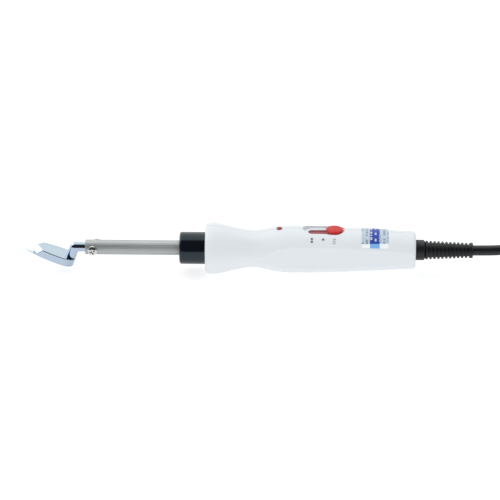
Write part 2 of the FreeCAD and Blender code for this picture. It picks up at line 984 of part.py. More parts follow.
def pilot_lens():
    """A drop-shaped window, flush at its point and domed over its round end."""
    flange_top = belly_radius - wall - lens_flange_drop
    window = prism(lens_outline(0, flange_top - 0.2), V(0, 0, belly_radius))
    ball_radius = (lens_crown**2 + lens_crown_radius**2) / (2 * lens_crown)
    surface_up = belly_radius - 0.2
    ball = Part.makeSphere(ball_radius, point(lamp_x, 0, surface_up + lens_crown - ball_radius))
    dome = window.common(ball).cut(block(0, 2 * lamp_x, -5, 5, 0, flange_top - 0.2))
    flush = window.common(handle_solid(0))
    flange = rod_z(lens_flange_radius, flange_top - lens_flange_thickness, flange_top, lamp_x)
    return fused([flush, dome, flange])


def neon_lamp():
    top = belly_radius - wall - lens_flange_drop - lens_flange_thickness - 0.3
    glass_start = board_top_up + 1.0
    bulb = rod_z(neon_radius, glass_start, top - neon_radius, lamp_x)
    tip = Part.makeSphere(neon_radius, point(lamp_x, 0, top - neon_radius))
    legs = [rod_z(0.25, board_top_up, glass_start, lamp_x, side * 0.8) for side in (-1, 1)]
    return fused([bulb, tip] + legs)


def axial_part(radius, length, x, y):
    """A wire-ended component lying along the board."""
    up = board_top_up + radius + 0.2
    body = rod(radius, x - length / 2, x + length / 2, y, up)
    made = [body]
    reach = length / 2 + 1.2
    for side in (-1, 1):
        inner, outer = sorted((x + side * length / 2, x + side * reach))
        made.append(rod(0.25, inner, outer, y, up))
        made.append(rod_z(0.32, board_top_up, up + 0.4, x + side * reach, y))
    return fused(made)


# ---- cord clamp, strain relief and wires inside the handle ---------------------------------
def cord_clamp_bar():
    half = clamp_bar_half_height
    near = -cord_radius - clamp_bar_thickness
    bar = block(
        clamp_bar_x - clamp_bar_width / 2,
        clamp_bar_x + clamp_bar_width / 2,
        near,
        -cord_radius + 0.5,
        -half,
        half,
    )
    bar = bar.cut(rod(cord_radius, clamp_bar_x - 5, clamp_bar_x + 5))
    for side in (-1, 1):
        hole = rod_y(1.1, near - 1, 0, clamp_bar_x, side * clamp_bar_screw_up)
        bar = bar.cut(hole)
    return bar


def clamp_bar_screws():
    near = -cord_radius - clamp_bar_thickness
    made = []
    for side in (-1, 1):
        place = point(clamp_bar_x, near, side * clamp_bar_screw_up)
        made.append(placed(screw(0.9, 8.0, 1.7, 1.1, 0.5), place, V(0, -1, 0)))
    return Part.makeCompound(made)


def shell_screws():
    made = []
    for x, up in shell_screw_places:
        one = screw(
            shell_screw_radius, shell_screw_length, shell_head_radius, shell_head_height, 0.7
        )
        made.append(placed(one, point(x, shell_head_seat, up), V(0, 1, 0)))
    return Part.makeCompound(made)


def cord_cores():
    up = board_bottom_up - core_wire_radius - 0.05
    start = board_end_x - 5
    return Part.makeCompound([rod(core_wire_radius, start, cord_start_x, s * 1.4, up) for s in (-1, 1)])


def strain_relief():
    inner_rear = handle_rear_x - rear_wall
    bore = cord_radius
    flange_start = inner_rear - slide_fit - relief_flange_width
    steps = [
        (flange_start, bore),
        (flange_start, relief_flange_radius),
        (inner_rear - slide_fit, relief_flange_radius),
        (inner_rear - slide_fit, relief_neck_radius),
        (handle_rear_x + slide_fit, relief_neck_radius),
        (handle_rear_x + slide_fit, relief_collar_radius),
        (relief_collar_end_x - 0.3, relief_collar_radius),
        (relief_collar_end_x, relief_collar_radius - 0.3),
    ]
    rib_width_half = 0.31 * rib_pitch
    for rib in range(rib_count):
        top = rib_top_front + (rib_top_rear - rib_top_front) * rib / (rib_count - 1)
        x = relief_collar_end_x + (rib + 0.62) * rib_pitch
        bottom = top - groove_depth
        steps += [
            (x - rib_width_half, bottom),
            (x - rib_width_half, top - 0.4),
            (x, top, x + rib_width_half, top - 0.4),
            (x + rib_width_half, bottom),
        ]
    ring = relief_end_x - relief_ring_width
    end_top = rib_top_rear
    steps += [
        (ring, end_top - groove_depth),
        (ring, end_top - 0.2),
        (ring + 0.2, end_top),
        (relief_end_x - 0.4, end_top),
        (relief_end_x, end_top - 0.4),
        (relief_end_x, bore),
    ]
    return turned(profile(steps))


# ---- cord outside, hank, tie and plug --------------------------------------------------------
def bent_tube(name, route, radius):
    """Straight runs joined by tangent arcs, as large as each pair of runs allows."""
    places = [V(*place) for place in route]
    edges = []
    start = places[0]
    radii = []
    for before, corner, after in zip(places, places[1:], places[2:]):
        came = (corner - before).normalize()
        goes = (after - corner).normalize()
        turn = came.getAngle(goes)
        back = 0.45 * min((corner - before).Length, (after - corner).Length)
        bend = back / math.tan(turn / 2)
        radii.append(bend)
        first = corner - came * back
        last = corner + goes * back
        inward = (goes - came).normalize()
        sagitta = bend * (1 / math.cos(turn / 2) - 1)
        edges.append(Part.LineSegment(start, first).toShape())
        edges.append(Part.Arc(first, corner + inward * sagitta, last).toShape())
        start = last
    edges.append(Part.LineSegment(start, places[-1]).toShape())
    path = Part.Wire(edges)
    section = Part.Wire([Part.Circle(places[0], places[1] - places[0], radius).toShape()])
    tube = path.makePipeShell([section], True, False)
    share = tube.Volume / (math.pi * radius**2 * path.Length)
    print(f"{name}: bend radii {[round(bend, 1) for bend in radii]} mm")
    print(f"{name}: length {path.Length:.1f} mm, volume / (section x length) {share:.4f}")
    return tube


def racetrack(radius, height):
    """A solid with two straight sides and round ends, standing on the tie's thickness."""
    x0 = hank_start_x + inner_fold_radius + 1.5 * cord_diameter
    x1 = x0 + hank_run
    low = V(x0, -radius, tie_thickness)
    sides = Part.makeBox(hank_run, 2 * radius, height, low)
    ends = [Part.makeCylinder(radius, height, V(x, 0, tie_thickness)) for x in (x0, x1)]
    return fused([sides] + ends)


hank_height = hank_layers * cord_diameter
hank_outer = inner_fold_radius + 1.5 * cord_diameter
hank_top = tie_thickness + hank_height
tie_start_x = hank_start_x + hank_outer + hank_run + 1.0
plug_rear_x = tie_start_x - plug_to_tie - plug_depth


def cord_hank():
    inner = inner_fold_radius - cord_radius
    return racetrack(hank_outer, hank_height).cut(racetrack(inner, hank_height + 1))


def cord_tie():
    x = tie_start_x
    outer = hank_outer + tie_play + tie_thickness
    inner = hank_outer + tie_play
    height = hank_height + 2 * tie_thickness + tie_play
    loop = Part.makeBox(tie_width, 2 * outer, height, V(x, -outer, 0))
    hollow = Part.makeBox(
        tie_width + 2, 2 * inner, hank_height + tie_play, V(x - 1, -inner, tie_thickness)
    )
    return loop.cut(hollow)


def plug_body():
    """A flat two-pin plug with rounded long edges, lying on the hank."""
    middle = V(plug_rear_x, 0, hank_top + plug_thickness / 2)
    half = plug_width / 2
    radius = plug_thickness / 2
    grip_side = plug_grip_radius + 2
    waist = plug_depth * 0.45
    outline = [
        V(plug_rear_x, -grip_side, 0),
        V(plug_rear_x + waist, -half, 0),
        V(plug_rear_x + plug_depth, -half, 0),
        V(plug_rear_x + plug_depth, half, 0),
        V(plug_rear_x + waist, half, 0),
        V(plug_rear_x, grip_side, 0),
    ]
    body = prism([place + V(0, 0, hank_top) for place in outline], V(0, 0, plug_thickness))
    softened = []
    for edge in body.Edges:
        ends = [vertex.Point for vertex in edge.Vertexes]
        level = abs(ends[0].z - ends[1].z) < 0.01
        if level and ends[0].x + ends[1].x < 2 * (plug_rear_x + plug_depth) - 0.1:
            softened.append(edge)
    body = body.makeFillet(radius * 0.32, softened)
    grip = Part.makeCone(
        plug_grip_radius,
        plug_grip_radius + 1.2,
        plug_grip_length + 1,
        middle - V(plug_grip_length, 0, 0),
        V(1, 0, 0),
    )
    return body.fuse(grip)


def plug_pins():
    made = []
    face_x = plug_rear_x + plug_depth
    for side in (-1, 1):
        place = V(face_x, side * pin_spacing / 2, hank_top + plug_thickness / 2)
        pin = Part.makeCylinder(pin_radius, pin_length - pin_radius, place, V(1, 0, 0))
        tip = Part.makeSphere(pin_radius, place + V(pin_length - pin_radius, 0, 0))
        made.append(pin.fuse(tip))
    return Part.makeCompound(made)


# ---- write every piece -----------------------------------------------------------------------
near_shell, far_shell = handle_shells()
save("handle_shell_near", near_shell)
save("handle_shell_far", far_shell)
save("shell_screws", shell_screws())
save("rating_label", rating_label())
save("front_collar", front_collar())
save("barrel_tube", barrel_tube())
save("barrel_stop_ring", pipe(
    stop_ring_radius, barrel_radius, stop_ring_x0, stop_ring_x0 + stop_ring_width
))
save("tip_holder_bush", tip_holder_bush())
save("clamp_screw_near", placed(
    clamp_screw(), point(near_screw_x, -barrel_radius, 0), V(0, -1, 0)
))
save("clamp_screw_far", placed(
    clamp_screw(), point(far_screw_x, barrel_radius, 0), V(0, 1, 0)
))
save("shoe_bit", shoe_bit())
save("heater_former", heater_former())
save("heater_winding", heater_winding())
save("mica_sleeve", mica_sleeve())
save("rear_insulator", rear_insulator())
save("heater_leads", heater_leads())
save("lead_sleeves", lead_sleeves())
save("circuit_board", circuit_board())
save("switch_housing", switch_housing())
save("switch_contacts", switch_contacts())
save("switch_slider", switch_slider())
save("switch_wiper", switch_wiper())
save("slot_shutter", slot_shutter())
save("switch_knob", switch_knob())
save("pilot_lens", pilot_lens())
save("neon_lamp", neon_lamp())
save("lamp_resistor", axial_part(1.1, 6.0, lamp_x + 5.4, -5.2))
save("power_diode", axial_part(1.4, 5.2, lamp_x + 5.4, 5.0))
save("cord_clamp_bar", cord_clamp_bar())
save("clamp_bar_screws", clamp_bar_screws())
save("inner_cord", rod(cord_radius, cord_start_x, relief_end_x))
save("cord_cores", cord_cores())
save("strain_relief", strain_relief())
save("mains_cord", bent_tube("mains_cord", cord_route, cord_radius))
plug_stretch = [(plug_rear_x + along, across, up) for along, across, up in plug_route]
save("plug_lead", bent_tube("plug_lead", plug_stretch, cord_radius))
save("cord_hank", cord_hank())
save("cord_tie", cord_tie())
save("plug_body", plug_body())
save("plug_pins", plug_pins())
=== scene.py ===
import json
import math

import bmesh
import bpy
from mathutils import Matrix, Vector
from mathutils.bvhtree import BVHTree


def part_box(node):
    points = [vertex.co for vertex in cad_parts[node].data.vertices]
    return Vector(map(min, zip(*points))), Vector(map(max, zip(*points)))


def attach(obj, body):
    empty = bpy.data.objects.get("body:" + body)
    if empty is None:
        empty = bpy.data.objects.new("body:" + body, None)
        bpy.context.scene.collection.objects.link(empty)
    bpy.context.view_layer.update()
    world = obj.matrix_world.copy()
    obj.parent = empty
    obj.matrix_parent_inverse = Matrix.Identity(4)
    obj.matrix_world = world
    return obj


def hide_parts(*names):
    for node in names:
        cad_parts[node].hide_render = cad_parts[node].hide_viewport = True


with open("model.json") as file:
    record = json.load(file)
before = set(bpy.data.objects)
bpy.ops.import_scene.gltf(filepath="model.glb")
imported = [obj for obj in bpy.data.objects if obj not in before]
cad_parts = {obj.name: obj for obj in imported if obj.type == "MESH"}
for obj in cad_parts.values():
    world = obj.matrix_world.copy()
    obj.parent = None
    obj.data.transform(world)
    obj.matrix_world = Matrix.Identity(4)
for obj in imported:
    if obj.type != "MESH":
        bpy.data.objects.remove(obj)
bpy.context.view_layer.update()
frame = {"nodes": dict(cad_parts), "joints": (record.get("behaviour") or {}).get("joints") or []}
nodes = frame["nodes"]
mm = 0.001
axisHeight = (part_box("barrel_tube")[0].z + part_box("barrel_tube")[1].z) / 2
print("frame loaded:", len(nodes), "nodes")


# Camera: facing the tool's near side from well above and far off
cameraSetup = {
    "target": (0.67 * mm, 0.0, axisHeight - 1.0 * mm),
    "azimuth": 1.1,
    "elevation": 29.0,
    "distance": 2.0,
    "widthSeen": 0.26665,
    "roll": 0.0,
    "sensor": 36.0,
}


def addCamera(setup):
    data = bpy.data.cameras.new("viewCamera")
    data.sensor_width = setup["sensor"]
    data.lens = setup["sensor"] * setup["distance"] / setup["widthSeen"]
    data.clip_start = 0.01
    data.clip_end = 20
    camera = bpy.data.objects.new("viewCamera", data)
    bpy.context.scene.collection.objects.link(camera)
    azimuth = math.radians(setup["azimuth"])
    elevation = math.radians(setup["elevation"])
    back = Vector((
        math.sin(azimuth) * math.cos(elevation),
        -math.cos(azimuth) * math.cos(elevation),
        math.sin(elevation),
    ))
    target = Vector(setup["target"])
    turned = (-back).to_track_quat("-Z", "Y").to_matrix().to_4x4()
    roll = Matrix.Rotation(math.radians(setup["roll"]), 4, "Z")
    camera.matrix_world = Matrix.Translation(target + back * setup["distance"]) @ turned @ roll
    bpy.context.scene.camera = camera
    return camera


addCamera(cameraSetup)
bpy.context.scene.view_settings.view_transform = "Standard"


# Shader helpers
class Shader:
    # a material or group under construction

    def __init__(self, tree):
        self.tree = tree

    def add(self, kind, **values):
        made = self.tree.nodes.new(kind)
        for name, value in values.items():
            setattr(made, name, value)
        return made

    def join(self, source, target):
        self.tree.links.new(source, target)

    def math(self, operation, first, second=None, third=None):
        made = self.add("ShaderNodeMath", operation=operation)
        for socket, value in zip(made.inputs, (first, second, third)):
            if value is None:
                continue
            if isinstance(value, (int, float)):
                socket.default_value = value
            else:
                self.join(value, socket)
        return made.outputs[0]

    def mixColor(self, factor, first, second, blend="MIX"):
        made = self.add("ShaderNodeMix", data_type="RGBA", blend_type=blend)
        for socket, value in zip((made.inputs[0], made.inputs[6], made.inputs[7]), (factor, first, second)):
            if isinstance(value, (int, float)):
                socket.default_value = value
            elif isinstance(value, (tuple, list)):
                socket.default_value = (*value[:3], 1)
            else:
                self.join(value, socket)
        return made.outputs[2]

    def ramp(self, factor, low, high, outLow=0.0, outHigh=1.0):
        made = self.add("ShaderNodeMapRange")
        made.inputs["From Min"].default_value = low
        made.inputs["From Max"].default_value = high
        made.inputs["To Min"].default_value = outLow
        made.inputs["To Max"].default_value = outHigh
        self.join(factor, made.inputs["Value"])
        return made.outputs[0]

    def noise(self, vector, scale, detail=3.0, roughness=0.5):
        made = self.add("ShaderNodeTexNoise")
        made.inputs["Scale"].default_value = scale
        made.inputs["Detail"].default_value = detail
        made.inputs["Roughness"].default_value = roughness
        self.join(vector, made.inputs["Vector"])
        return made.outputs["Fac"]


def newGroup(name, inputs, outputs):
    group = bpy.data.node_groups.new(name, "ShaderNodeTree")
    for label, kind, value in inputs:
        socket = group.interface.new_socket(name=label, in_out="INPUT", socket_type="NodeSocket" + kind)
        socket.default_value = value
    for label, kind in outputs:
        group.interface.new_socket(name=label, in_out="OUTPUT", socket_type="NodeSocket" + kind)
    shader = Shader(group)
    return shader, shader.add("NodeGroupInput"), shader.add("NodeGroupOutput")


def grainGroup():
    # cloudy tone, uneven gloss and fine surface texture, by size in metres
    s, given, out = newGroup(
        "surfaceGrain",
        [
            ("Color", "Color", (0.5, 0.5, 0.5, 1)),
            ("Tone", "Float", 0.05),
            ("Roughness", "Float", 0.4),
            ("Roughness Spread", "Float", 0.05),
            ("Cloud Size", "Float", 0.02),
            ("Grain Size", "Float", 0.0005),
        ],
        [("Color", "Color"), ("Roughness", "Float"), ("Height", "Float")],
    )
    place = s.add("ShaderNodeTexCoord").outputs["Object"]
    cloudScale = s.math("DIVIDE", 1.0, given.outputs["Cloud Size"])
    grainScale = s.math("DIVIDE", 1.0, given.outputs["Grain Size"])
    cloud = s.add("ShaderNodeTexNoise")
    cloud.inputs["Detail"].default_value = 4
    s.join(place, cloud.inputs["Vector"])
    s.join(cloudScale, cloud.inputs["Scale"])
    grain = s.add("ShaderNodeTexNoise")
    grain.inputs["Detail"].default_value = 2
    s.join(place, grain.inputs["Vector"])
    s.join(grainScale, grain.inputs["Scale"])
    shift = s.math("SUBTRACT", cloud.outputs["Fac"], 0.5)
    tone = s.math("ADD", 1.0, s.math("MULTIPLY", shift, given.outputs["Tone"]))
    scaled = s.add("ShaderNodeVectorMath", operation="SCALE")
    s.join(given.outputs["Color"], scaled.inputs[0])
    s.join(tone, scaled.inputs["Scale"])
    mixed = s.math("ADD", s.math("MULTIPLY", shift, 0.7), s.math("SUBTRACT", grain.outputs["Fac"], 0.5))
    uneven = s.math("MULTIPLY", mixed, given.outputs["Roughness Spread"])
    rough = s.math("ADD", given.outputs["Roughness"], uneven)
    s.join(scaled.outputs[0], out.inputs["Color"])
    s.join(rough, out.inputs["Roughness"])
    s.join(grain.outputs["Fac"], out.inputs["Height"])
    return s.tree


def edgeWearAndHighlightGroup():
    # a mask that picks out raised edges, broken up by noise, for edge wear and for a painted edge highlight
    s, given, out = newGroup(
        "edgeWearAndHighlightMask",
        [("Amount", "Float", 0.5), ("Patch Size", "Float", 0.004)],
        [("Mask", "Float")],
    )
    place = s.add("ShaderNodeTexCoord").outputs["Object"]
    patches = s.add("ShaderNodeTexNoise")
    patches.inputs["Detail"].default_value = 5
    s.join(place, patches.inputs["Vector"])
    s.join(s.math("DIVIDE", 1.0, given.outputs["Patch Size"]), patches.inputs["Scale"])
    edges = s.ramp(s.add("ShaderNodeNewGeometry").outputs["Pointiness"], 0.51, 0.58)
    broken = s.ramp(patches.outputs["Fac"], 0.42, 0.62)
    mask = s.math("MULTIPLY", s.math("MULTIPLY", edges, broken), given.outputs["Amount"])
    s.join(mask, out.inputs["Mask"])
    return s.tree


def brushGroup():
    # fine streaks along X, as brushing or drawing leaves them
    s, given, out = newGroup(
        "brushMarks",
        [
            ("Roughness", "Float", 0.25),
            ("Spread", "Float", 0.15),
            ("Mark Width", "Float", 0.0002),
            ("Stretch", "Float", 0.03),
        ],
        [("Roughness", "Float"), ("Height", "Float"), ("Tone", "Float")],
    )
    place = s.add("ShaderNodeTexCoord").outputs["Object"]
    split = s.add("ShaderNodeSeparateXYZ")
    s.join(place, split.inputs[0])
    along = s.math("MULTIPLY", split.outputs[0], given.outputs["Stretch"])
    merged = s.add("ShaderNodeCombineXYZ")
    s.join(along, merged.inputs[0])
    s.join(split.outputs[1], merged.inputs[1])
    s.join(split.outputs[2], merged.inputs[2])
    marks = s.add("ShaderNodeTexNoise")
    marks.inputs["Detail"].default_value = 4
    s.join(merged.outputs[0], marks.inputs["Vector"])
    s.join(s.math("DIVIDE", 1.0, given.outputs["Mark Width"]), marks.inputs["Scale"])
    shift = s.math("SUBTRACT", marks.outputs["Fac"], 0.5)
    rough = s.math("ADD", given.outputs["Roughness"], s.math("MULTIPLY", shift, given.outputs["Spread"]))
    s.join(rough, out.inputs["Roughness"])
    s.join(marks.outputs["Fac"], out.inputs["Height"])
    s.join(s.math("ADD", 1.0, s.math("MULTIPLY", shift, 1.5)), out.inputs["Tone"])
    return s.tree


grain = grainGroup()
edgeWearAndHighlight = edgeWearAndHighlightGroup()
brush = brushGroup()


def useGroup(s, group, **values):
    made = s.add("ShaderNodeGroup", node_tree=group)
    for name, value in values.items():
        made.inputs[name.replace("_", " ")].default_value = value
    return made


def newMaterial(name):
    material = bpy.data.materials.new(name)
    material.use_nodes = True
    s = Shader(material.node_tree)
    return material, s, material.node_tree.nodes["Principled BSDF"]


def bump(s, height, distance, strength=1.0):
    made = s.add("ShaderNodeBump")
    made.inputs["Distance"].default_value = distance
    made.inputs["Strength"].default_value = strength
    s.join(height, made.inputs["Height"])
    return made.outputs["Normal"]


def finish(name, look):
    # a material from one dictionary: colour, gloss, grain and a lighter edge colour, which is edge wear on
    # some parts and a painted edge highlight on the red knob
    material, s, skin = newMaterial(name)
    color = (*look["color"], 1)
    base = useGroup(
        s, grain,
        Color=color,
        Tone=look.get("tone", 0.06),
        Roughness=look["roughness"],
        Roughness_Spread=look.get("spread", 0.08),
        Cloud_Size=look.get("cloud", 0.015),
        Grain_Size=look.get("grain", 0.0004),
    )
    shade = base.outputs["Color"]
    if "edgeWearAndHighlightColor" in look:
        mask = useGroup(s, edgeWearAndHighlight, Amount=look.get("edgeWearAndHighlight", 0.5), Patch_Size=look.get("patch", 0.003))
        shade = s.mixColor(mask.outputs["Mask"], shade, look["edgeWearAndHighlightColor"])
    s.join(shade, skin.inputs["Base Color"])
    s.join(base.outputs["Roughness"], skin.inputs["Roughness"])
    s.join(bump(s, base.outputs["Height"], look.get("depth", 0.00002)), skin.inputs["Normal"])
    skin.inputs["Metallic"].default_value = look.get("metallic", 0.0)
    skin.inputs["Coat Weight"].default_value = look.get("coat", 0.0)
    skin.inputs["Coat Roughness"].default_value = look.get("coatRoughness", 0.05)
    skin.inputs["IOR"].default_value = look.get("ior", 1.5)
    skin.inputs["Specular IOR Level"].default_value = look.get("specular", 0.5)
    skin.inputs["Specular Tint"].default_value = (*look.get("tint", (1, 1, 1)), 1)
    skin.inputs["Sheen Weight"].default_value = look.get("sheen", 0.0)
    skin.inputs["Sheen Roughness"].default_value = 0.5
    return material


def brushed(name, look):
    # drawn or brushed metal with streaks along the tool
    material, s, skin = newMaterial(name)
    marks = useGroup(
        s, brush,
        Roughness=look["roughness"],
        Spread=look["spread"],
        Mark_Width=look["markWidth"],
        Stretch=look["stretch"],
    )
    stained = useGroup(
        s, grain,
        Color=(*look["color"], 1),
        Tone=look.get("tone", 0.1),
        Cloud_Size=look.get("cloud", 0.01),
    )
    scaled = s.add("ShaderNodeVectorMath", operation="SCALE")
    s.join(stained.outputs["Color"], scaled.inputs[0])
    s.join(marks.outputs["Tone"], scaled.inputs["Scale"])
    s.join(scaled.outputs[0], skin.inputs["Base Color"])
    s.join(marks.outputs["Roughness"], skin.inputs["Roughness"])
    s.join(bump(s, marks.outputs["Height"], look["depth"]), skin.inputs["Normal"])
    skin.inputs["Metallic"].default_value = look["metallic"]
    return material


def paint(material, *names):
    for name in names:
        slots = nodes[name].data.materials
        slots.clear()
        slots.append(material)


# Handle: white moulded shells with a satin skin
handleLook = {
    "color": (0.71, 0.745, 0.77),
    "roughness": 0.42,
    "specular": 0.3,
    "spread": 0.06,
    "tone": 0.025,
    "cloud": 0.03,
    "grain": 0.0005,
    "depth": 0.000012,
}
collarLook = {
    "color": (0.004, 0.0052, 0.008),
    "tint": (0.66, 0.84, 1.0),
    "roughness": 0.16,
    "spread": 0.10,
    "cloud": 0.008,
    "grain": 0.0008,
    "depth": 0.000006,
}
barrelLook = {
    "color": (0.40, 0.415, 0.42),
    "metallic": 0.6,
    "roughness": 0.5,
    "spread": 0.22,
    "markWidth": 0.0009,
    "stretch": 0.006,
    "depth": 0.000008,
    "tone": 0.12,
}
bitLook = {
    "color": (0.40, 0.475, 0.575),
    "roughness": 0.07,
    "spread": 0.07,
    "tone": 0.05,
    "cloud": 0.006,
    "grain": 0.0012,
    "depth": 0.000004,
    "metallic": 1.0,
}
screwLook = {
    "color": (0.58, 0.59, 0.59),
    "roughness": 0.22,
    "spread": 0.15,
    "cloud": 0.002,
    "grain": 0.0003,
    "depth": 0.00001,
    "metallic": 1.0,
}
knobLook = {
    "color": (0.50, 0.015, 0.014),
    "specular": 0.3,
    "roughness": 0.42,
    "spread": 0.1,
    "tone": 0.1,
    "cloud": 0.004,
    "grain": 0.0003,
    "depth": 0.000015,
    # painted highlight: a brighter red on the knob's raised edges
    "edgeWearAndHighlightColor": (0.80, 0.10, 0.09),
    "edgeWearAndHighlight": 0.35,
}
shutterLook = {
    "color": (0.27, 0.030, 0.036),
    "roughness": 0.42,
    "spread": 0.1,
    "cloud": 0.004,
    "grain": 0.0003,
    "depth": 0.00001,
}
rubberLook = {
    "color": (0.006, 0.008, 0.010),
    "specular": 0.35,
    "roughness": 0.44,
    "spread": 0.16,
    "tone": 0.2,
    "cloud": 0.006,
    "grain": 0.00035,
    "depth": 0.00002,
    "edgeWearAndHighlightColor": (0.025, 0.028, 0.032),
    "edgeWearAndHighlight": 0.3,
}
cordLook = {
    "color": (0.006, 0.008, 0.010),
    "specular": 0.35,
    "roughness": 0.40,
    "spread": 0.16,
    "tone": 0.25,
    "cloud": 0.01,
    "grain": 0.0003,
    "depth": 0.000018,
}
plugLook = {
    "color": (0.014, 0.016, 0.020),
    "roughness": 0.38,
    "spread": 0.12,
    "cloud": 0.01,
    "grain": 0.0004,
    "depth": 0.00003,
    "edgeWearAndHighlightColor": (0.06, 0.06, 0.065),
    "edgeWearAndHighlight": 0.4,
}
pinLook = {
    "color": (0.66, 0.65, 0.61),
    "roughness": 0.2,
    "spread": 0.12,
    "cloud": 0.004,
    "grain": 0.0004,
    "depth": 0.000006,
    "metallic": 1.0,
}

handleSkin = finish("satinWhitePlastic", handleLook)
paint(handleSkin, "handle_shell_near", "handle_shell_far")
paint(finish("glossBlackCollar", collarLook), "front_collar")
paint(brushed("brushedStainless", barrelLook), "barrel_tube")
paint(finish("brightPlating", bitLook), "shoe_bit")
screwMetal = finish("brightZinc", screwLook)
paint(screwMetal, "clamp_screw_near", "clamp_screw_far", "shell_screws", "clamp_bar_screws")
paint(finish("satinRedKnob", knobLook), "switch_knob")
paint(finish("redShutter", shutterLook), "slot_shutter")
paint(finish("reliefRubber", rubberLook), "strain_relief")
cordSkin = finish("cordSheath", cordLook)
paint(cordSkin, "inner_cord", "mains_cord", "plug_lead", "cord_hank")
paint(finish("plugMoulding", plugLook), "plug_body", "cord_tie")
paint(finish("nickelPins", pinLook), "plug_pins")
print("outside finishes done")


# Inside pieces: each with its own finish
insideLooks = {
    "barrel_stop_ring": {"color": (0.45, 0.45, 0.46), "roughness": 0.35, "metallic": 1.0},
    "tip_holder_bush": {"color": (0.42, 0.42, 0.43), "roughness": 0.38, "metallic": 1.0},
    "heater_former": {"color": (0.78, 0.75, 0.67), "roughness": 0.75, "depth": 0.00004, "tone": 0.2},
    "heater_winding": {"color": (0.22, 0.20, 0.19), "roughness": 0.5, "metallic": 1.0, "tone": 0.4},
    "mica_sleeve": {
        "color": (0.45, 0.37, 0.24),
        "roughness": 0.35,
        "coat": 0.4,
        "tone": 0.5,
        "cloud": 0.003,
    },
    "rear_insulator": {"color": (0.78, 0.75, 0.67), "roughness": 0.72, "depth": 0.00004, "tone": 0.2},
    "heater_leads": {"color": (0.62, 0.60, 0.56), "roughness": 0.3, "metallic": 1.0},
    "lead_sleeves": {
        "color": (0.75, 0.72, 0.62),
        "roughness": 0.85,
        "grain": 0.0005,
        "depth": 0.0001,
        "sheen": 0.3,
    },
    "circuit_board": {"color": (0.36, 0.19, 0.07), "roughness": 0.5, "tone": 0.4, "cloud": 0.003},
    "switch_housing": {"color": (0.02, 0.02, 0.023), "roughness": 0.45, "edgeWearAndHighlightColor": (0.07, 0.07, 0.07)},
    "switch_contacts": {"color": (0.62, 0.42, 0.16), "roughness": 0.28, "metallic": 1.0, "tone": 0.3},
    "switch_slider": {"color": (0.02, 0.02, 0.023), "roughness": 0.4, "edgeWearAndHighlightColor": (0.07, 0.07, 0.07)},
    "switch_wiper": {"color": (0.66, 0.46, 0.20), "roughness": 0.22, "metallic": 1.0, "tone": 0.3},
    "power_diode": {"color": (0.015, 0.015, 0.018), "roughness": 0.35},
    "cord_clamp_bar": {"color": (0.05, 0.05, 0.055), "roughness": 0.5, "edgeWearAndHighlightColor": (0.1, 0.1, 0.1)},
    "cord_cores": {"color": (0.20, 0.09, 0.04), "roughness": 0.4, "tone": 0.1},
}
for name, look in insideLooks.items():
    paint(finish(name + "Finish", look), name)


def lensMaterial():
    # clear red moulding over a lamp that is off
    material, s, skin = newMaterial("clearRedLens")
    base = useGroup(s, grain, Color=(0.33, 0.006, 0.007, 1), Tone=0.3, Roughness=0.25, Cloud_Size=0.002)
    s.join(base.outputs["Color"], skin.inputs["Base Color"])
    s.join(base.outputs["Roughness"], skin.inputs["Roughness"])
    s.join(bump(s, base.outputs["Height"], 0.000004), skin.inputs["Normal"])
    skin.inputs["Transmission Weight"].default_value = 0.2
    return material


def neonMaterial():
    material, s, skin = newMaterial("neonGlass")
    base = useGroup(s, grain, Color=(0.95, 0.86, 0.78, 1), Tone=0.05, Roughness=0.04, Cloud_Size=0.003)
    s.join(base.outputs["Color"], skin.inputs["Base Color"])
    s.join(base.outputs["Roughness"], skin.inputs["Roughness"])
    s.join(bump(s, base.outputs["Height"], 0.000004), skin.inputs["Normal"])
    skin.inputs["Transmission Weight"].default_value = 0.9
    return material


def bandedMaterial():
    # lacquered body with coloured rings along X, for the lamp's resistor
    material, s, skin = newMaterial("bandedResistor")
    low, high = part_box("lamp_resistor")
    base = useGroup(s, grain, Color=(0.55, 0.38, 0.18, 1), Tone=0.1, Roughness=0.3, Cloud_Size=0.003)
    place = s.add("ShaderNodeTexCoord").outputs["Object"]
    split = s.add("ShaderNodeSeparateXYZ")
    s.join(place, split.inputs[0])
    shade = base.outputs["Color"]
    rings = {
        0.26: (0.30, 0.02, 0.02),
        0.40: (0.30, 0.02, 0.02),
        0.54: (0.55, 0.30, 0.02),
        0.72: (0.45, 0.30, 0.08),
    }
    for share, color in rings.items():
        x = low.x + share * (high.x - low.x)
        distance = s.math("ABSOLUTE", s.math("SUBTRACT", split.outputs[0], x))
        mask = s.math("LESS_THAN", distance, 0.3 * mm)
        shade = s.mixColor(mask, shade, color)
    s.join(shade, skin.inputs["Base Color"])
    s.join(base.outputs["Roughness"], skin.inputs["Roughness"])
    s.join(bump(s, base.outputs["Height"], 0.00001), skin.inputs["Normal"])
    return material


paint(lensMaterial(), "pilot_lens")
paint(neonMaterial(), "neon_lamp")
paint(bandedMaterial(), "lamp_resistor")


# Label: three printed bands on metallised film, the lower end paler with a painted reflection that washes
# out the print
labelLook = {
    "silver": (0.47, 0.55, 0.62),
    "silverUnderPaintedReflection": (0.84, 0.87, 0.90),
    "blue": (0.020, 0.055, 0.33),
    "blueUnderPaintedReflection": (0.20, 0.42, 0.78),
    "blueStart": 4.4,
    "blueEnd": 9.6,
    "paintedReflectionTop": 8.0,
    "paintedReflectionFull": 7.7,
    "rowPitch": 2.3,
    "rowShare": 0.45,
    "printRadius": 12.0,
    "inkStrength": 0.75,
    "dashPitch": 0.9,
    "darkInk": (0.16, 0.19, 0.24),
    "paleInk": (0.62, 0.68, 0.76),
}


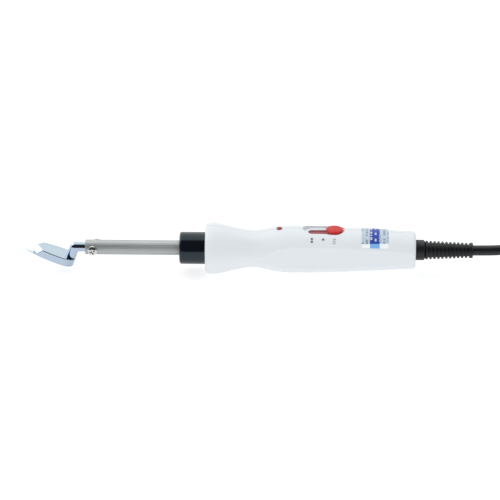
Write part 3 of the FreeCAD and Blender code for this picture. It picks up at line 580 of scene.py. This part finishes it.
def labelMaterial(look):
    material, s, skin = newMaterial("printedLabel")
    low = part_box("rating_label")[0]
    place = s.add("ShaderNodeTexCoord").outputs["Object"]
    split = s.add("ShaderNodeSeparateXYZ")
    s.join(place, split.inputs[0])
    along, across, up = split.outputs
    start = low.x + look["blueStart"] * mm
    end = low.x + look["blueEnd"] * mm
    inside = s.math("MULTIPLY", s.math("GREATER_THAN", along, start), s.math("LESS_THAN", along, end))
    # painted reflection: below this height the label turns paler
    paintedReflection = s.ramp(up, axisHeight + look["paintedReflectionTop"] * mm, axisHeight + look["paintedReflectionFull"] * mm)
    silver = s.mixColor(paintedReflection, look["silver"], look["silverUnderPaintedReflection"])
    blue = s.mixColor(paintedReflection, look["blue"], look["blueUnderPaintedReflection"])
    # rows of short broken dashes stand in for small print
    row = s.math("DIVIDE", s.math("SUBTRACT", along, low.x), look["rowPitch"] * mm)
    inRow = s.math("LESS_THAN", s.math("FRACT", row), look["rowShare"])
    angle = s.math("ARCTAN2", across, s.math("SUBTRACT", up, axisHeight))
    turn = s.math("MULTIPLY", angle, look["printRadius"])
    spot = s.add("ShaderNodeCombineXYZ")
    s.join(s.math("FLOOR", row), spot.inputs[0])
    s.join(s.math("FLOOR", s.math("DIVIDE", turn, look["dashPitch"])), spot.inputs[1])
    chance = s.add("ShaderNodeTexWhiteNoise")
    s.join(spot.outputs[0], chance.inputs["Vector"])
    dash = s.math("MULTIPLY", inRow, s.math("GREATER_THAN", chance.outputs["Value"], 0.5))
    # the print fades out under the painted reflection
    clear = s.math("SUBTRACT", 1.0, paintedReflection)
    inked = s.math("MULTIPLY", dash, s.math("MULTIPLY", clear, look["inkStrength"]))
    silver = s.mixColor(inked, silver, look["darkInk"])
    blue = s.mixColor(inked, blue, look["paleInk"])
    printed = s.mixColor(inside, silver, blue)
    base = useGroup(s, grain, Tone=0.12, Roughness=0.4, Roughness_Spread=0.12, Cloud_Size=0.004)
    s.join(printed, base.inputs["Color"])
    s.join(base.outputs["Color"], skin.inputs["Base Color"])
    s.join(base.outputs["Roughness"], skin.inputs["Roughness"])
    s.join(bump(s, base.outputs["Height"], 0.000008), skin.inputs["Normal"])
    skin.inputs["Specular IOR Level"].default_value = 0.25
    return material


paint(labelMaterial(labelLook), "rating_label")
print("inside finishes, lens and label done")


# Printed marks: thin ink laid on the curved surface
def surfaceTree(*names):
    mesh = bmesh.new()
    for name in names:
        mesh.from_mesh(nodes[name].data)
    tree = BVHTree.FromBMesh(mesh)
    mesh.free()
    return tree


clearOfHandle = 30 * mm
handleSurface = surfaceTree("handle_shell_near", "handle_shell_far", "rating_label")


def onHandle(x, angle, lift):
    # the place on the handle at x and at an angle from the top, towards the near side
    outward = Vector((0, -math.sin(angle), math.cos(angle)))
    start = Vector((x, 0, axisHeight)) + outward * clearOfHandle
    hit = handleSurface.ray_cast(start, -outward)[0]
    return hit + outward * lift


def inkPatch(mesh, outline, lift):
    # a flat-topped patch whose outline is a list of (x, angle)
    top = [mesh.verts.new(onHandle(x, angle, lift)) for x, angle in outline]
    low = [mesh.verts.new(onHandle(x, angle, -lift)) for x, angle in outline]
    mesh.faces.new(top)
    mesh.faces.new(list(reversed(low)))
    count = len(outline)
    for i in range(count):
        j = (i + 1) % count
        mesh.faces.new((top[j], top[i], low[i], low[j]))


def inkPiece(name, outlines, material):
    mesh = bmesh.new()
    for outline in outlines:
        inkPatch(mesh, outline, marks["lift"])
    bmesh.ops.recalc_face_normals(mesh, faces=mesh.faces)
    data = bpy.data.meshes.new(name)
    mesh.to_mesh(data)
    mesh.free()
    data.materials.append(material)
    piece = bpy.data.objects.new(name, data)
    bpy.context.scene.collection.objects.link(piece)
    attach(piece, "handle")
    return piece


markLook = {
    "color": (0.20, 0.20, 0.19),
    "roughness": 0.5,
    "tone": 0.3,
    "cloud": 0.001,
    "grain": 0.0002,
    "depth": 0.000008,
}
marks = {
    "dotRadius": 0.72 * mm,
    "dotAngles": (36.0, 43.5),
    "oneDotAngle": 37.0,
    "offAngles": (34.0, 48.0),
    "stroke": 0.22 * mm,
    "letterHeight": 1.6 * mm,
    "letterGap": 0.09,
    "middleBar": 0.1,
    "lift": 0.03 * mm,
}
inkMaterial = finish("greyInk", markLook)
knobLow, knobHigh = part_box("switch_knob")
offX = (knobLow.x + knobHigh.x) / 2
travel = frame["joints"][0]["range_m"][1]
shoulderRadius = 12.2 * mm


def dot(x, degrees, radius):
    angle = math.radians(degrees)
    sides = 20
    outline = []
    for i in range(sides):
        turn = 2 * math.pi * i / sides
        outline.append((x + radius * math.cos(turn), angle + radius * math.sin(turn) / shoulderRadius))
    return outline


def bar(x0, x1, low, high):
    # a short strip from x0 to x1 and between two angles in degrees
    steps = 4
    angles = [math.radians(low + (high - low) * i / steps) for i in range(steps + 1)]
    return [(x0, a) for a in angles] + [(x1, a) for a in reversed(angles)]


dots = [dot(offX - travel, angle, marks["dotRadius"]) for angle in marks["dotAngles"]]
dots.append(dot(offX - travel / 2, marks["oneDotAngle"], marks["dotRadius"]))
inkPiece("settingDots", dots, inkMaterial)


def offLetters():
    # the word for the zero setting, read from the cord's end
    strips = []
    low, high = marks["offAngles"]
    gap = (high - low) * marks["letterGap"]
    height = (high - low - 2 * gap) / 3
    half = marks["letterHeight"] / 2
    stroke = marks["stroke"]
    thin = math.degrees(stroke / shoulderRadius)
    for index in range(3):
        start = low + index * (height + gap)
        end = start + height
        if index == 0:
            strips.append(bar(offX - half, offX + half, start, start + thin))
            strips.append(bar(offX - half, offX + half, end - thin, end))
            strips.append(bar(offX - half, offX - half + stroke, start, end))
            strips.append(bar(offX + half - stroke, offX + half, start, end))
        else:
            strips.append(bar(offX - half, offX + half, end - thin, end))
            strips.append(bar(offX - half, offX - half + stroke, start, end))
            middle = offX - marks["middleBar"] * half
            strips.append(bar(middle, middle + stroke, start + thin, end))
    return strips


inkPiece("offMark", offLetters(), inkMaterial)
print("marks done")


# Cord: one smooth line from the strain relief through the hank to the plug
cordSetup = {
    "diameter": 5.6 * mm,
    "length": 1.3,
    "hankStart": 142.0 * mm,
    "run": 90.0 * mm,
    "tie": 0.5 * mm,
    "foldPoints": 6,
    "farPoints": 8,
    "farStep": 0.14,
    "nearPoints": 4,
    "firstFar": 200.0 * mm,
    "leadIn": [
        (119.4, 0.0, 13.87),
        (127.0, 0.0, 13.88),
        (135.0, 0.5, 14.0),
        (144.0, 2.4, 14.3),
        (153.5, 7.0, 14.5),
        (163.0, 13.4, 14.5),
        (172.5, 19.0, 14.5),
        (183.0, 22.0, 14.45),
        (194.0, 22.4, 14.3),
    ],
    "leadOut": [
        (176.0, 16.6, 9.6),
        (183.5, 14.7, 11.6),
        (191.0, 10.6, 14.2),
        (199.0, 5.4, 16.6),
        (207.0, 1.4, 18.1),
        (215.0, 0.0, 18.55),
    ],
    "changes": [(228.0, 257.0), (212.0, 240.0), (196.0, 224.0), (180.0, 208.0)],
}


def hankPoints(setup):
    # control points of the turns: two columns and two levels, each change made on the far side
    d = setup["diameter"]
    inner = 3 * d
    outer = 4 * d
    low = setup["tie"] + d / 2
    high = low + d
    top = high + d
    x0 = setup["hankStart"] + inner + 1.5 * d
    x1 = x0 + setup["run"]
    turns = [
        ((outer, top), (outer, high)),
        ((outer, high), (outer, low)),
        ((outer, low), (inner, low)),
        ((inner, low), (inner, high)),
    ]
    points = []
    count = setup["foldPoints"]
    for index, (before, after) in enumerate(turns):
        changeStart, changeEnd = (value * mm for value in setup["changes"][index])
        xs = [x0 + setup["farStep"] * setup["run"] * k for k in range(setup["farPoints"])]
        for x in xs:
            if index == 0 and x < setup["firstFar"]:
                continue
            share = min(1, max(0, (x - changeStart) / (changeEnd - changeStart)))
            ease = share * share * (3 - 2 * share)
            y = before[0] + (after[0] - before[0]) * ease
            z = before[1] + (after[1] - before[1]) * ease
            points.append((x, y, z))
        radius, height = after
        reach = radius / math.cos(math.pi / (2 * count))
        for k in range(count):
            angle = math.pi / 2 - math.pi * (k + 0.5) / count
            points.append((x1 + reach * math.cos(angle), reach * math.sin(angle), height))
        for k in range(setup["nearPoints"]):
            share = k / (setup["nearPoints"] - 1)
            points.append((x1 - setup["run"] * share, -radius, height))
        for k in range(count):
            angle = -math.pi / 2 - math.pi * (k + 0.5) / count
            points.append((x0 + reach * math.cos(angle), reach * math.sin(angle), height))
    points.append((x0, inner, high))
    return points


def buildCord(setup):
    points = [Vector(p) * mm for p in setup["leadIn"]]
    points += [Vector(p) for p in hankPoints(setup)]
    points += [Vector(p) * mm for p in setup["leadOut"]]
    data = bpy.data.curves.new("mainsLead", "CURVE")
    data.dimensions = "3D"
    data.bevel_depth = setup["diameter"] / 2
    data.bevel_resolution = 5
    data.resolution_u = 4
    data.use_fill_caps = True
    line = data.splines.new("NURBS")
    line.points.add(len(points) - 1)
    for place, point in zip(points, line.points):
        point.co = (*place, 1)
    line.order_u = 3
    line.use_endpoint_u = True
    line.use_smooth = True
    data.materials.append(cordSkin)
    piece = bpy.data.objects.new("mainsLead", data)
    bpy.context.scene.collection.objects.link(piece)
    print("cord line:", len(points), "points,", round(line.calc_length(), 3), "m")
    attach(piece, "handle")
    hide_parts("mains_cord", "plug_lead", "cord_hank")
    return piece


buildCord(cordSetup)
print("cord done")


# Floor and light
floorSetup = {"size": 3.0, "color": (0.5, 0.5, 0.503), "glow": 0.66}


def addFloor(setup):
    half = setup["size"] / 2
    mesh = bpy.data.meshes.new("floor")
    corners = [(-half, -half, 0), (half, -half, 0), (half, half, 0), (-half, half, 0)]
    mesh.from_pydata(corners, [], [(0, 1, 2, 3)])
    material, s, skin = newMaterial("paleFloor")
    base = useGroup(s, grain, Color=(*setup["color"], 1), Tone=0.01, Roughness=0.8, Cloud_Size=0.3)
    s.join(base.outputs["Color"], skin.inputs["Base Color"])
    skin.inputs["Roughness"].default_value = 0.8
    skin.inputs["Specular IOR Level"].default_value = 0.1
    skin.inputs["Emission Color"].default_value = (1, 1, 1, 1)
    skin.inputs["Emission Strength"].default_value = setup["glow"]
    mesh.materials.append(material)
    floor = bpy.data.objects.new("floor", mesh)
    bpy.context.scene.collection.objects.link(floor)
    floor.location.z = -0.05 * mm


addFloor(floorSetup)

lightSetup = {
    "ambientFront": (0.93, 0.94, 0.95),
    "ambientBehind": (0.74, 0.75, 0.76),
    "behind": (1.35, 1.39, 1.29),
    "glow": (2.8, 2.8, 2.8),
    "front": (0.03, 0.032, 0.035),
    "keyPower": 9.0,
    "keySize": 1.2,
    "keyPlace": (-0.5, 0.6, 1.3),
}


def addLight(setup):
    world = bpy.data.worlds.new("studio")
    bpy.context.scene.world = world
    world.use_nodes = True
    s = Shader(world.node_tree)
    s.tree.nodes.clear()
    direction = s.add("ShaderNodeTexCoord").outputs["Generated"]
    split = s.add("ShaderNodeSeparateXYZ")
    s.join(direction, split.inputs[0])
    # mirror-like pieces see a bright back wall with a glow on it and a dark room in front
    toBack = s.ramp(split.outputs[1], -0.16, 0.02)
    high = s.ramp(split.outputs[2], 0.42, 0.45)
    right = s.ramp(split.outputs[0], 0.25, 0.19)
    right = s.math("MULTIPLY", right, s.math("GREATER_THAN", split.outputs[0], 0.03))
    left = s.math("LESS_THAN", split.outputs[0], -0.35)
    glow = s.math("MULTIPLY", high, s.math("MAXIMUM", right, left))
    wallColor = s.mixColor(glow, setup["behind"], setup["glow"])
    room = s.mixColor(toBack, setup["front"], wallColor)
    ambient = s.mixColor(s.ramp(split.outputs[1], -0.4, 0.4), setup["ambientFront"], setup["ambientBehind"])
    path = s.add("ShaderNodeLightPath")
    shade = s.mixColor(path.outputs["Is Glossy Ray"], ambient, room)
    background = s.add("ShaderNodeBackground")
    out = s.add("ShaderNodeOutputWorld")
    s.join(shade, background.inputs["Color"])
    s.join(background.outputs[0], out.inputs["Surface"])
    data = bpy.data.lights.new("keyLight", "AREA")
    data.energy = setup["keyPower"]
    data.size = setup["keySize"]
    key = bpy.data.objects.new("keyLight", data)
    bpy.context.scene.collection.objects.link(key)
    place = Vector(setup["keyPlace"])
    key.matrix_world = Matrix.Translation(place) @ (-place).to_track_quat("-Z", "Y").to_matrix().to_4x4()
    key.visible_glossy = False


addLight(lightSetup)
print("floor and light done")
